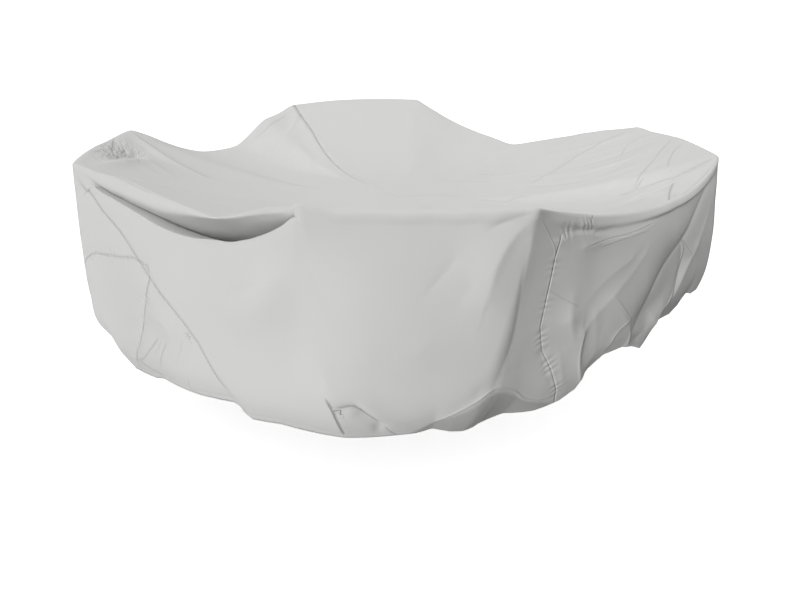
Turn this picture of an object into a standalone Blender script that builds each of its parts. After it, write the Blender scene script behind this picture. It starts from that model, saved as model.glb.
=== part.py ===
"""Fitted cloth cover of a round patio set, as it hangs on the set.

Metres, +Z up. The origin is under the cloth, at the middle of the flat part of the top.
Every point of the cloth has two coordinates:
    along  metres round the rim, clockwise from above, from the front right corner
    reach  metres past the rim, down the skirt; below zero it runs in towards the middle
The cloth is pushed up at eight corners. It is near straight over the raised stretch
between two corners and sags in the next.
"""

from collections import namedtuple
from itertools import accumulate

import bmesh
import bpy
import numpy as np

THICKNESS = 0.002
GAP = 0.0004            # between two cuts of cloth along a seam
SKIRT_REACH = 0.66      # rim to hem, down the cloth
CORNER_ROUND = 0.016
RIM_ROUND = 0.012

Corner = namedtuple("Corner", "name x y z")
CORNERS = (
    Corner("front_right", 0.270, -0.898, 0.190),
    Corner("front_left", -0.319, -0.861, 0.197),
    Corner("left_near", -0.990, -0.268, 0.188),
    Corner("left_far", -0.944, 0.320, 0.188),
    Corner("back_left", -0.355, 0.957, 0.176),
    Corner("back_right", 0.233, 1.010, 0.190),
    Corner("right_far", 1.013, 0.278, 0.166),
    Corner("right_near", 1.040, -0.311, 0.168),
)

# From each corner to the next: bow is outwards, sag is downwards, low_at is the share of
# the way at which the rim hangs lowest.
Span = namedtuple("Span", "name bow sag low_at")
SPANS = (
    Span("front", 0.010, 0.004, 0.50),
    Span("front_left", -0.045, 0.092, 0.40),
    Span("left", 0.035, 0.000, 0.50),
    Span("back_left", 0.000, 0.130, 0.52),
    Span("back", 0.020, -0.012, 0.50),
    Span("back_right", 0.000, 0.140, 0.50),
    Span("right", 0.025, 0.000, 0.50),
    Span("front_right", -0.020, 0.105, 0.36),
)

# How far the skirt stands out from the rim a third and two thirds of the way down, just
# above the hem and at the hem, and the hem's height. Corner, middle of the span, corner...
Skirt = namedtuple("Skirt", "name third two_thirds low hem hem_z")
SKIRT = (
    Skirt("front_right corner", 0.015, 0.020, 0.010, -0.020, -0.410),
    Skirt("front middle", 0.020, 0.030, 0.020, -0.030, -0.435),
    Skirt("front_left corner", 0.020, 0.035, 0.030, -0.010, -0.440),
    Skirt("front_left middle", 0.080, 0.100, 0.095, 0.070, -0.435),
    Skirt("left_near corner", 0.010, 0.010, -0.005, -0.050, -0.450),
    Skirt("left middle", 0.010, 0.020, 0.000, -0.040, -0.450),
    Skirt("left_far corner", 0.010, 0.000, -0.020, -0.060, -0.430),
    Skirt("back_left middle", 0.050, 0.060, 0.050, 0.030, -0.390),
    Skirt("back_left corner", 0.000, 0.000, -0.010, -0.030, -0.370),
    Skirt("back middle", 0.010, 0.010, 0.000, -0.020, -0.350),
    Skirt("back_right corner", 0.000, 0.000, -0.010, -0.030, -0.340),
    Skirt("back_right middle", 0.050, 0.060, 0.050, 0.030, -0.320),
    Skirt("right_far corner", 0.000, 0.000, 0.000, 0.000, -0.270),
    Skirt("right middle", 0.010, 0.020, 0.020, 0.020, -0.230),
    Skirt("right_near corner", 0.010, 0.020, 0.015, 0.000, -0.230),
    Skirt("front_right middle", 0.060, 0.085, 0.080, 0.060, -0.340),
)
SKIRT_SHARES = (0.0, 1 / 3, 2 / 3, 0.88, 1.0)

# The pocket under the front left span: the rim hangs as a rolled band, the cloth turns in
# under it, and comes back out over a lip from which the skirt falls.
Pocket = namedtuple("Pocket", "share band under lip_down lip_out")
POCKET = (
    Pocket(0.00, 0.026, 0.000, 0.034, 0.010),
    Pocket(0.10, 0.024, 0.030, 0.055, 0.022),
    Pocket(0.22, 0.026, 0.044, 0.070, 0.034),
    Pocket(0.30, 0.018, 0.052, 0.073, 0.040),
    Pocket(0.39, 0.012, 0.052, 0.064, 0.044),
    Pocket(0.47, 0.018, 0.044, 0.060, 0.044),
    Pocket(0.60, 0.044, 0.028, 0.070, 0.042),
    Pocket(0.75, 0.052, 0.016, 0.066, 0.034),
    Pocket(0.87, 0.040, 0.010, 0.048, 0.022),
    Pocket(1.00, 0.030, 0.000, 0.034, 0.010),
)
# Reaches of the pocket's rim, band, turned-in cloth, lip and skirt.
POCKET_REACHES = (0.0, 0.020, 0.040, 0.070, 0.105, 0.140, 0.172, 0.190, 0.215, 0.270, 0.430)
POCKET_SPAN = 1

# The main folds: a line from one place to another with a sideways bend. rise is out of the
# cloth, or into it below zero. lap is the share of the width over which the far side of
# the line drops, 1 for an even ridge and less for cloth that laps over its neighbour.
Fold = namedtuple("Fold", "name along_a reach_a along_b reach_b bend width rise lap")
FOLDS = (
    Fold("lap across the left front", 1.44, 0.10, 0.85, 0.62, 0.020, 0.110, 0.030, 0.40),
    Fold("edge under the front right corner", 6.17, 0.03, 6.255, 0.52, 0.020, 0.080, 0.016, 1.0),
    Fold("long ridge on the right", 5.56, 0.10, 5.93, 0.37, 0.010, 0.080, 0.026, 1.0),
    Fold("trough beside the long ridge", 5.70, 0.14, 5.94, 0.30, 0.000, 0.070, -0.018, 1.0),
    Fold("upright trough", 6.00, 0.26, 6.00, 0.50, 0.006, 0.070, -0.026, 1.0),
    Fold("ridge beside the upright trough", 5.945, 0.36, 5.93, 0.62, 0.006, 0.070, 0.024, 1.0),
    Fold("short slanting ridge", 5.80, 0.40, 5.85, 0.58, 0.000, 0.070, 0.018, 1.0),
    Fold("trough under the right corner", 5.40, 0.12, 5.74, 0.46, 0.020, 0.090, -0.028, 1.0),
    Fold("ridge under the right corner", 5.25, 0.20, 5.58, 0.54, 0.015, 0.080, 0.022, 1.0),
    Fold("tuck above the front hem", 0.53, 0.50, 0.49, 0.66, 0.000, 0.060, 0.016, 1.0),
    Fold("hem turned up at the right", 0.26, 0.62, 6.18, 0.59, -0.060, 0.060, 0.018, 0.7),
    Fold("ridge inside the left stretch", 2.07, -0.04, 1.82, -0.40, 0.000, 0.080, 0.012, 1.0),
    Fold("pull from the near left corner", 1.50, -0.05, 1.10, -0.14, 0.000, 0.070, 0.008, 1.0),
    Fold("ridge inside the back", 3.50, -0.05, 3.35, -0.50, 0.000, 0.080, 0.012, 1.0),
    Fold("trough at the back left", 2.70, -0.03, 2.88, -0.06, 0.000, 0.060, -0.010, 1.0),
    Fold("pull inside the right stretch", 4.62, -0.04, 5.10, -0.45, 0.000, 0.070, 0.010, 1.0),
)

# The seams, as the place along the rim at which each crosses a reach.
Stitch = namedtuple("Stitch", "reach along")
FRONT_SEAM = (
    Stitch(-0.90, 6.000),
    Stitch(-0.40, 5.980),
    Stitch(0.00, 5.925),
    Stitch(0.04, 5.975),
    Stitch(0.11, 6.085),
    Stitch(0.25, 6.118),
    Stitch(0.36, 6.134),
    Stitch(0.45, 6.108),
    Stitch(0.54, 6.055),
    Stitch(SKIRT_REACH, 6.010),
)
NEAR_SIDE_SEAM = (
    Stitch(-0.90, 1.150),
    Stitch(0.30, 1.130),
    Stitch(0.45, 1.165),
    Stitch(0.55, 1.215),
    Stitch(SKIRT_REACH, 1.330),
)
FAR_SIDE_SEAM = (
    Stitch(-0.90, 1.990),
    Stitch(SKIRT_REACH, 1.990),
)
BACK_SEAM = (
    Stitch(-0.90, 2.872),
    Stitch(-0.60, 2.878),
    Stitch(-0.42, 2.914),
    Stitch(-0.26, 2.948),
    Stitch(0.00, 2.956),
    Stitch(SKIRT_REACH, 2.956),
)
SEAMS = (FRONT_SEAM, NEAR_SIDE_SEAM, FAR_SIDE_SEAM, BACK_SEAM)
SIDE_SEAM_REACH = 0.320     # the level seam above the side cut

# The mesh lines: close together from the near right corner round the front to the near
# left one, wide at the hidden back. Each seam has a line that bends to follow it, and the
# lines beside it bend less and less.
SEAM_HOMES = (6.050, 1.150, 1.990, 2.956)   # where each seam's line starts from
SEAM_SPREAD = 0.42
FINE_STEP = 0.030
COARSE_STEP = 0.090
TOP_SHARES = (0.07, 0.16, 0.26, 0.36, 0.46, 0.55, 0.64, 0.72, 0.80, 0.87, 0.93, 0.97)
SKIRT_REACHES = (0.0, 0.020, 0.040, 0.070, 0.105, 0.140, 0.172, 0.190, 0.215, 0.260,
                 SIDE_SEAM_REACH, 0.375, 0.430, 0.490, 0.545, 0.600, 0.635, SKIRT_REACH)

CORNER_XYZ = np.array([corner[1:] for corner in CORNERS])
SPAN_LENGTHS = np.linalg.norm(np.roll(CORNER_XYZ, -1, axis=0) - CORNER_XYZ, axis=1)
CORNER_ALONG = np.array(list(accumulate(SPAN_LENGTHS, initial=0.0)))
RIM_LENGTH = CORNER_ALONG[-1]
STATION_ALONG = np.sort(np.concatenate([CORNER_ALONG[:-1], CORNER_ALONG[:-1] + SPAN_LENGTHS / 2]))


def ease(t):
    """Smooth step from 0 to 1 as t goes from 0 to 1."""
    t = np.clip(t, 0, 1)
    return t * t * (3 - 2 * t)


def unit(vectors):
    """The vectors at length 1."""
    return vectors / np.linalg.norm(vectors, axis=-1, keepdims=True)


def curve(x, knots, values):
    """Smooth curve through (knots, values) at x. values may hold one row for each x."""
    knots = np.asarray(knots, float)
    values = np.asarray(values, float)
    step = np.diff(knots)
    rise = np.diff(values, axis=-1) / step
    middle = (rise[..., :-1] * step[1:] + rise[..., 1:] * step[:-1]) / (step[1:] + step[:-1])
    slope = np.concatenate([rise[..., :1], middle, rise[..., -1:]], axis=-1)
    x = np.clip(x, knots[0], knots[-1])
    i = np.clip(np.searchsorted(knots, x, side="right") - 1, 0, len(knots) - 2)
    t = (x - knots[i]) / step[i]

    def pick(array, index):
        if values.ndim == 1:
            return array[index]
        return np.take_along_axis(array, index[..., None], -1)[..., 0]

    return ((2 * t**3 - 3 * t**2 + 1) * pick(values, i)
            + (t**3 - 2 * t**2 + t) * step[i] * pick(slope, i)
            + (3 * t**2 - 2 * t**3) * pick(values, i + 1)
            + (t**3 - t**2) * step[i] * pick(slope, i + 1))


def closed_curve(along, values):
    """Smooth curve round the rim through one value for each skirt station."""
    knots = np.concatenate([STATION_ALONG - RIM_LENGTH, STATION_ALONG, STATION_ALONG + RIM_LENGTH])
    return curve(np.mod(along, RIM_LENGTH), knots, np.tile(values, 3))


def rim_samples(count=4096):
    """Points of the rim, corner to corner with bow and sag, with the corners rounded."""
    along = np.arange(count) / count * RIM_LENGTH
    points = np.zeros((count, 3))
    for i, span in enumerate(SPANS):
        start, end = CORNER_XYZ[i], CORNER_XYZ[(i + 1) % len(CORNERS)]
        here = (along >= CORNER_ALONG[i]) & (along < CORNER_ALONG[i + 1])
        share = (along[here] - CORNER_ALONG[i]) / SPAN_LENGTHS[i]
        outward = (start + end)[:2] / np.linalg.norm((start + end)[:2])
        points[here] = start + (end - start) * share[:, None]
        points[here, :2] += outward * (span.bow * 4 * share * (1 - share))[:, None]
        skewed = share ** (np.log(0.5) / np.log(span.low_at))
        points[here, 2] -= span.sag * 4 * skewed * (1 - skewed)
    spread = CORNER_ROUND / (RIM_LENGTH / count)
    offsets = np.arange(-int(4 * spread), int(4 * spread) + 1)
    weights = np.exp(-0.5 * (offsets / spread) ** 2)
    rounded = sum(w * np.roll(points, -k, axis=0) for k, w in zip(offsets, weights))
    return along, rounded / weights.sum()


RIM_ALONG, RIM_POINTS = rim_samples()


def rim_at(along):
    """Rim point at a place round the rim."""
    along = np.mod(along, RIM_LENGTH)
    knots = np.append(RIM_ALONG, RIM_LENGTH)
    return np.stack([np.interp(along, knots, np.append(column, column[0]))
                     for column in RIM_POINTS.T], axis=-1)


def top_height(share, rim_z):
    """Height of the top, share of the way out: flat, then a slope up to the rim.

    The slope starts near the middle under a raised stretch and far out under a sag.
    """
    low_rim, high_rim = 0.05, 0.17
    flat_under_raised, flat_under_sag = 0.26, 0.50
    steepening = 1.55
    raised = ease((rim_z - low_rim) / (high_rim - low_rim))
    flat = flat_under_raised * raised + flat_under_sag * (1 - raised)
    return rim_z * np.clip((share - flat) / (1 - flat), 0, 1) ** steepening


def pocket_profile(along, reach, skirt_out, skirt_drop):
    """Out and down offsets of the pocket, and how much of it there is (0 to 1)."""
    share = (along - CORNER_ALONG[POCKET_SPAN]) / SPAN_LENGTHS[POCKET_SPAN]
    amount = ease((share + 0.03) / 0.10) * ease((1.03 - share) / 0.20)
    shares = [row.share for row in POCKET]
    band, under, lip_down, lip_out = (
        curve(np.clip(share, 0, 1), shares, column) for column in list(zip(*POCKET))[1:])
    none = np.zeros_like(band)
    out = np.stack([none, 0.22 * band, 0.10 * band, -0.75 * under, -under, -0.55 * under,
                    0.55 * lip_out, lip_out, lip_out + 0.012, lip_out + 0.03, lip_out + 0.05], -1)
    down = np.stack([none, 0.45 * band, 0.95 * band, band + 0.7 * under, band + 1.5 * under,
                     band + 1.6 * under, lip_down + 0.010, lip_down, lip_down + 0.018,
                     lip_down + 0.072, lip_down + 0.2], -1)
    last, before = POCKET_REACHES[-1], POCKET_REACHES[-2]
    joined = ease((reach - before) / (SKIRT_REACH - before))
    out = curve(reach, POCKET_REACHES, out) * (1 - joined) + skirt_out * joined
    end = lip_down + 0.2
    tail = end + (skirt_drop - end) * (reach - last) / (SKIRT_REACH - last)
    down = np.where(reach < last, curve(reach, POCKET_REACHES, down), tail)
    return out, down, amount


def plain_cloth(along, reach):
    """Top, skirt and pocket, with a sharp rim and no folds."""
    along = np.mod(along, RIM_LENGTH)
    rim = rim_at(along)
    radius = np.linalg.norm(rim[..., :2], axis=-1)
    outward = rim[..., :2] / radius[..., None]
    share = np.clip(1 + reach / radius, 0, 1)
    top = np.concatenate([rim[..., :2] * share[..., None],
                          top_height(share, rim[..., 2])[..., None]], axis=-1)
    fallen = np.clip(reach / SKIRT_REACH, 0, 1)
    third, two_thirds, low, hem, hem_z = (
        closed_curve(along, column) for column in list(zip(*SKIRT))[1:])
    out = curve(fallen, SKIRT_SHARES, np.stack([0 * hem, third, two_thirds, low, hem], -1))
    drop = rim[..., 2] - hem_z
    pocket_out, pocket_down, amount = pocket_profile(along, reach, out, drop)
    out = out * (1 - amount) + pocket_out * amount
    down = fallen * drop * (1 - amount) + pocket_down * amount
    skirt = np.concatenate([rim[..., :2] + outward * out[..., None],
                            (rim[..., 2] - down)[..., None]], axis=-1)
    return np.where((reach < 0)[..., None], top, skirt)


def rounded_cloth(along, reach):
    """The plain cloth, softened across the rim."""
    spread = RIM_ROUND * np.exp(-(reach / 0.05) ** 2)
    taps = ((-1.0, 0.15), (-0.5, 0.22), (0.0, 0.26), (0.5, 0.22), (1.0, 0.15))
    return sum(weight * plain_cloth(along, reach + tap * spread) for tap, weight in taps)


def fold_rise(along, reach):
    """Sum of the folds' heights, out of the cloth."""
    total = np.zeros(np.broadcast(along, reach).shape)
    for fold in FOLDS:
        start = np.array([fold.along_a, fold.reach_a])
        line = np.array([fold.along_b, fold.reach_b]) - start
        length = np.hypot(*line)
        direction = line / length
        middle = (fold.along_a + fold.along_b) / 2
        near = along + RIM_LENGTH * np.round((middle - along) / RIM_LENGTH)
        lengthwise = (near - start[0]) * direction[0] + (reach - start[1]) * direction[1]
        t = lengthwise / length
        sideways = (near - start[0]) * direction[1] - (reach - start[1]) * direction[0]
        sideways = sideways - fold.bend * 4 * t * (1 - t)
        width = np.where(sideways > 0, fold.width * fold.lap, fold.width) / 2
        fade = ease((t + 0.1) / 0.3) * ease((1.1 - t) / 0.3)
        total = total + fold.rise * fade * np.exp(-(sideways / width) ** 2)
    return total


def cloth(along, reach):
    """Outer face of the cloth and its outward normal."""
    step = 0.006
    ahead = rounded_cloth(along + step, reach) - rounded_cloth(along - step, reach)
    outwards = rounded_cloth(along, reach + step) - rounded_cloth(along, reach - step)
    normal = unit(np.cross(ahead, outwards))
    raised = rounded_cloth(along, reach) + normal * fold_rise(along, reach)[..., None]
    return raised + (0, 0, THICKNESS), normal


def seam_along(seam, reach):
    """Place along the rim at which a seam crosses each reach."""
    return np.interp(reach, [stitch.reach for stitch in seam], [stitch.along for stitch in seam])


def spaced(start, end, step):
    """Even values from start up to, but without, end."""
    return list(np.linspace(start, end, max(1, round((end - start) / step)), endpoint=False))


def mesh_columns():
    """Places round the rim for the mesh lines, and the column that runs along each seam.

    They go once round from the front seam, so the last column lies on the first.
    """
    first = SEAM_HOMES[0]
    homes = [first + (home - first) % RIM_LENGTH for home in SEAM_HOMES]
    wide_from = RIM_LENGTH + CORNER_ALONG[2] + 0.06
    wide_to = RIM_LENGTH + CORNER_ALONG[7] - 0.06
    marks = sorted([*homes, first + RIM_LENGTH, wide_from, wide_to])
    columns = []
    for start, end in zip(marks, marks[1:]):
        wide = wide_from < (start + end) / 2 < wide_to
        columns += spaced(start, end, COARSE_STEP if wide else FINE_STEP)
    columns = np.array(columns + [marks[-1]])
    return columns, [int(np.argmin(abs(columns - home))) for home in homes]


def mesh_lines():
    """along and reach at each crossing of the mesh lines, and the seams' columns."""
    columns, seam_columns = mesh_columns()
    radius = np.linalg.norm(rim_at(columns)[:, :2], axis=-1)
    top = (np.array(TOP_SHARES)[None, :] - 1) * radius[:, None]
    skirt = np.broadcast_to(SKIRT_REACHES, (len(columns), len(SKIRT_REACHES)))
    reach = np.concatenate([top, skirt], axis=1)
    along = np.broadcast_to(columns[:, None], reach.shape)
    shift = np.zeros(reach.shape)
    for home, seam in zip(SEAM_HOMES, SEAMS):
        apart = abs(along - home) % RIM_LENGTH
        apart = np.minimum(apart, RIM_LENGTH - apart)
        shift += (seam_along(seam, reach) - home) * ease(1 - apart / SEAM_SPREAD)
    return along + shift, reach, seam_columns


def drawn_in(points, cells):
    """Points drawn back from the seams at the edge of a panel by half the gap.

    cells marks the panel's cells. The hem isn't a seam and stays where it is.
    """
    padded = np.pad(cells.astype(int), 1)
    after, before = padded[1:, :], padded[:-1, :]
    column_side = np.sign(after[:, 1:] + after[:, :-1] - before[:, 1:] - before[:, :-1])
    lower, upper = padded[:, 1:], padded[:, :-1]
    row_side = np.sign(lower[1:] + lower[:-1] - upper[1:] - upper[:-1])
    row_side[:, [0, -1]] = 0
    looped = np.concatenate([points[-2:-1], points, points[1:2]])
    round_rim, down_cloth = looped[2:] - looped[:-2], unit(np.gradient(points, axis=1))
    across_column = unit(round_rim - (round_rim * down_cloth).sum(-1, keepdims=True) * down_cloth)
    round_rim = unit(round_rim)
    across_row = unit(down_cloth - (round_rim * down_cloth).sum(-1, keepdims=True) * round_rim)
    return points + GAP / 2 * (column_side[..., None] * across_column
                               + row_side[..., None] * across_row)


def add_panel(name, cells, outer, normal, has_middle, material):
    """One cut of cloth: its outer face, its inner face and the wall round its edge."""
    outer = drawn_in(outer, cells)
    inner = outer - THICKNESS * normal
    mesh = bmesh.new()
    used = np.zeros(outer.shape[:2], bool)
    for i, j in np.argwhere(cells):
        used[i:i + 2, j:j + 2] = True
    faces = {}
    for side, points in (("outer", outer), ("inner", inner)):
        faces[side] = {(i, j): mesh.verts.new(points[i, j]) for i, j in map(tuple, np.argwhere(used))}
    triangles = []
    for i, j in map(tuple, np.argwhere(cells)):
        a, b, c, d = (i, j), (i, j + 1), (i + 1, j + 1), (i + 1, j)
        if np.linalg.norm(outer[a] - outer[c]) < np.linalg.norm(outer[b] - outer[d]):
            triangles += [(a, b, c), (a, c, d)]
        else:
            triangles += [(a, b, d), (b, c, d)]
    if has_middle:
        ring = [i for i in range(cells.shape[0]) if cells[i, 0]]
        aside = unit(outer[ring, 0].mean(axis=0) * (1, 1, 0)) * GAP / 2
        middle = aside + (0, 0, THICKNESS)
        faces["outer"]["middle"] = mesh.verts.new(middle)
        faces["inner"]["middle"] = mesh.verts.new(middle - (0, 0, THICKNESS))
        triangles += [((i, 0), (i + 1, 0), "middle") for i in ring]
    edges = set()
    for triangle in triangles:
        mesh.faces.new([faces["outer"][key] for key in triangle])
        mesh.faces.new([faces["inner"][key] for key in reversed(triangle)])
        for a, b in zip(triangle, triangle[1:] + triangle[:1]):
            edges.symmetric_difference_update({(a, b)} if (b, a) not in edges else {(b, a)})
    for edge in sorted(edges, key=str):
        # The wall's diagonal runs the same way on both sides of a seam.
        a, b = sorted(edge, key=lambda key: (2, 0) if key == "middle" else (1, -sum(key)))
        mesh.faces.new([faces["outer"][a], faces["outer"][b], faces["inner"][b]])
        mesh.faces.new([faces["outer"][a], faces["inner"][b], faces["inner"][a]])
    bmesh.ops.recalc_face_normals(mesh, faces=mesh.faces)
    data = bpy.data.meshes.new(name)
    mesh.to_mesh(data)
    mesh.free()
    data.materials.append(material)
    data.shade_smooth()
    bpy.context.scene.collection.objects.link(bpy.data.objects.new(name, data))


def cloth_material():
    material = bpy.data.materials.new("grey_cloth")
    material.use_nodes = True
    shader = material.node_tree.nodes["Principled BSDF"]
    shader.inputs["Base Color"].default_value = (0.62, 0.62, 0.60, 1.0)
    shader.inputs["Roughness"].default_value = 0.85
    return material


def main():
    for old in list(bpy.data.objects):
        bpy.data.objects.remove(old, do_unlink=True)
    along, reach, (front, near_side, far_side, back) = mesh_lines()
    outer, normal = cloth(along, reach)
    level = len(TOP_SHARES) + SKIRT_REACHES.index(SIDE_SEAM_REACH)
    left = np.zeros((along.shape[0] - 1, along.shape[1] - 1), bool)
    left[front:back] = True
    right = ~left
    side = np.zeros(left.shape, bool)
    side[near_side:far_side, level:] = True
    material = cloth_material()
    add_panel("cover_left", left & ~side, outer, normal, True, material)
    add_panel("cover_right", right, outer, normal, True, material)
    add_panel("side_lower_left", side, outer, normal, False, material)


main()
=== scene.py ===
"""Looks of a fitted cloth cover: three cuts of grey cloth, their seams, hem and stitching.

Metres, +Z up. The cloth is drawn as it hangs. Each of its points has two coordinates:
    along  metres round the rim, clockwise from above, from the front right corner
    reach  metres past the rim, down the skirt; below zero it runs in towards the middle
"""
from collections import namedtuple
from functools import reduce
from itertools import accumulate

import bpy
import numpy as np
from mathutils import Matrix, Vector


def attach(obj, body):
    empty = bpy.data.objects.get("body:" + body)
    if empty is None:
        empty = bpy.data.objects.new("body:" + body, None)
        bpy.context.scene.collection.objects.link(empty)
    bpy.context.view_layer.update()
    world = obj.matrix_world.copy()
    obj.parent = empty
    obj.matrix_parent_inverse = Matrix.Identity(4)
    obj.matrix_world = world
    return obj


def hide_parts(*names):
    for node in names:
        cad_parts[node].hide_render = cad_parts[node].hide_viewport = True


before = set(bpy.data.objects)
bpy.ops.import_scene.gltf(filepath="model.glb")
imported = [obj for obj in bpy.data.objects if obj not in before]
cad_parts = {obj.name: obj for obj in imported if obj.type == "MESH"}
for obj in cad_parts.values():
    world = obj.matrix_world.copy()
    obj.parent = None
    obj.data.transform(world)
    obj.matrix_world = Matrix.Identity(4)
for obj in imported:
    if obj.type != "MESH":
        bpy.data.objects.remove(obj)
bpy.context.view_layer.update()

# --------------------
# cover_left, the larger cut of cloth: coated polyester, 0.3 mm thick, cut as part of a
# round. It lies over the left part of the top, rolls over the rim and hangs as the front
# and left skirt. Its edge laps over the second cut along the long seam.

MM = 0.001
CM = 0.01
CAD_THICKNESS = 2 * MM
CLOTH_THICKNESS = 1.6 * MM
SKIRT_REACH = 0.66      # rim to hem, down the cloth
CORNER_ROUND = 0.011
RIM_ROUND = 0.012

# The eight places where the cloth is pushed up.
Corner = namedtuple("Corner", "name x y z")
CORNERS = (
    Corner("front_right", 0.270, -0.898, 0.190),
    Corner("front_left", -0.319, -0.861, 0.197),
    Corner("left_near", -0.990, -0.268, 0.188),
    Corner("left_far", -0.944, 0.320, 0.188),
    Corner("back_left", -0.355, 0.957, 0.176),
    Corner("back_right", 0.233, 1.010, 0.190),
    Corner("right_far", 1.013, 0.278, 0.166),
    Corner("right_near", 1.040, -0.311, 0.168),
)

# From each corner to the next: bow is outwards, sag is downwards, low_at is the share of
# the way at which the rim hangs lowest.
Span = namedtuple("Span", "name bow sag low_at")
SPANS = (
    Span("front", 0.010, 0.004, 0.50),
    Span("front_left", -0.045, 0.092, 0.40),
    Span("left", 0.035, 0.000, 0.50),
    Span("back_left", 0.000, 0.130, 0.52),
    Span("back", 0.020, -0.012, 0.50),
    Span("back_right", 0.000, 0.140, 0.50),
    Span("right", 0.025, 0.000, 0.50),
    Span("front_right", -0.020, 0.105, 0.36),
)

# How far the skirt stands out from the rim a third and two thirds of the way down, just
# above the hem and at the hem, and the hem's height, in millimetres: on each line at a
# corner and at the middle of the span after it.
SKIRT = (
    (15, 20, 10, -20, -410), (20, 30, 20, -30, -435),       # front right, front middle
    (20, 35, 30, -10, -440), (80, 100, 95, 70, -435),       # front left, front left middle
    (10, 10, -5, -50, -450), (10, 20, 0, -40, -450),        # left near, left middle
    (10, 0, -20, -60, -430), (50, 60, 50, 30, -390),        # left far, back left middle
    (0, 0, -10, -30, -370), (10, 10, 0, -20, -350),         # back left, back middle
    (0, 0, -10, -30, -340), (50, 60, 50, 30, -320),         # back right, back right middle
    (0, 0, 0, 0, -270), (10, 20, 20, 20, -230),             # right far, right middle
    (10, 20, 15, 0, -230), (60, 85, 80, 60, -340),          # right near, front right middle
)
SKIRT_SHARES = (0.0, 1 / 3, 2 / 3, 0.88, 1.0)

# The pocket under the front left span: the rim hangs as a rolled band, the cloth turns in
# under it, and comes back out over a lip from which the skirt falls. Each row is a share of
# the span, then in millimetres the depth of the band, how far the cloth turns in, and how
# far the lip is below the rim and out from it.
POCKET = (
    (0.00, 6, 0, 10, 0), (0.03, 17, 30, 34, 10), (0.10, 25, 80, 58, 30), (0.20, 24, 120, 69, 40),
    (0.27, 20, 140, 66, 44), (0.33, 13, 140, 55, 44), (0.37, 8, 135, 50, 44),
    (0.43, 17, 125, 57, 44), (0.50, 31, 105, 64, 44), (0.60, 50, 70, 66, 40),
    (0.70, 56, 45, 61, 34), (0.80, 56, 30, 60, 26), (0.87, 44, 20, 51, 18), (0.93, 24, 10, 35, 8),
    (1.00, 6, 0, 10, 0),
)
# Reaches of the pocket's rim, band, turned-in cloth and lip.
POCKET_REACHES = (0.0, 0.020, 0.040, 0.072, 0.112, 0.150, 0.181, 0.190)
POCKET_SPAN = 1

# Small lifts of the rim and of the hem, where the cloth hangs tighter or lower than the
# plain shape: the place round the rim in metres, negative to the right of the front right
# corner, and millimetres up.
RIM_LIFTS = (
    (0.50, 0), (0.60, 15), (0.65, 35), (0.71, 45), (0.78, 40), (0.85, 25), (0.93, 7), (1.05, 15),
    (1.20, 22), (1.31, 30), (1.43, 12), (1.60, 5), (1.90, 0), (2.15, 15), (2.40, 0), (2.60, 5),
    (2.70, 40), (2.77, 57), (2.85, 37), (2.95, 15), (3.50, 8), (3.65, 18), (3.95, 19), (4.05, 6),
    (4.15, 29), (4.25, 45), (4.38, 52), (4.47, 43), (4.60, 12), (4.70, 8), (4.90, 16), (5.19, 10),
    (5.35, 0),
)
HEM_LIFTS = (
    (-1.02, 0), (-0.95, -50), (-0.91, -50), (-0.87, -30), (-0.80, -40), (-0.73, -30), (-0.65, 5),
    (-0.60, 25), (-0.55, 0), (-0.51, -15), (-0.46, 20), (-0.41, 45), (-0.33, 55), (-0.28, 30),
    (-0.24, -20), (-0.19, -40), (-0.10, -50), (0.00, -40), (0.10, -65), (0.15, -55), (0.20, -40),
    (0.25, -10), (0.50, -15), (0.70, 0), (0.80, -10), (0.86, 25), (0.98, 15), (1.16, 5), (1.22, -15),
    (1.28, -25), (1.34, -33), (1.40, -33), (1.46, 55), (1.60, 0),
)

CORNER_XYZ = np.array([corner[1:] for corner in CORNERS])
SPAN_LENGTHS = np.linalg.norm(np.roll(CORNER_XYZ, -1, axis=0) - CORNER_XYZ, axis=1)
CORNER_ALONG = np.array(list(accumulate(SPAN_LENGTHS, initial=0.0)))
RIM_LENGTH = CORNER_ALONG[-1]
SPAN_MIDDLES = CORNER_ALONG[:-1] + SPAN_LENGTHS / 2
STATION_ALONG = np.sort(np.concatenate([CORNER_ALONG[:-1], SPAN_MIDDLES]))


def ease(t):
    """Smooth step from 0 to 1 as t goes from 0 to 1."""
    t = np.clip(t, 0, 1)
    return t * t * (3 - 2 * t)


def unit(vectors):
    """The vectors at length 1."""
    return vectors / np.linalg.norm(vectors, axis=-1, keepdims=True)


def new_object(name, data):
    """An object of the scene."""
    made = bpy.data.objects.new(name, data)
    bpy.context.scene.collection.objects.link(made)
    return made


def curve(x, knots, values):
    """Smooth curve through (knots, values) at x. values may hold one row for each x."""
    knots = np.asarray(knots, float)
    values = np.asarray(values, float)
    step = np.diff(knots)
    rise = np.diff(values, axis=-1) / step
    middle = (rise[..., :-1] * step[1:] + rise[..., 1:] * step[:-1]) / (step[1:] + step[:-1])
    slope = np.concatenate([rise[..., :1], middle, rise[..., -1:]], axis=-1)
    x = np.clip(x, knots[0], knots[-1])
    i = np.clip(np.searchsorted(knots, x, side="right") - 1, 0, len(knots) - 2)
    t = (x - knots[i]) / step[i]

    def pick(array, index):
        if values.ndim == 1:
            return array[index]
        return np.take_along_axis(array, index[..., None], -1)[..., 0]

    return ((2 * t**3 - 3 * t**2 + 1) * pick(values, i)
            + (t**3 - 2 * t**2 + t) * step[i] * pick(slope, i)
            + (3 * t**2 - 2 * t**3) * pick(values, i + 1)
            + (t**3 - t**2) * step[i] * pick(slope, i + 1))


def from_front(along):
    """Place round the rim from the front right corner, negative to the right of it."""
    along = np.mod(along, RIM_LENGTH)
    return along - RIM_LENGTH * (along > RIM_LENGTH / 2)


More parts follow.
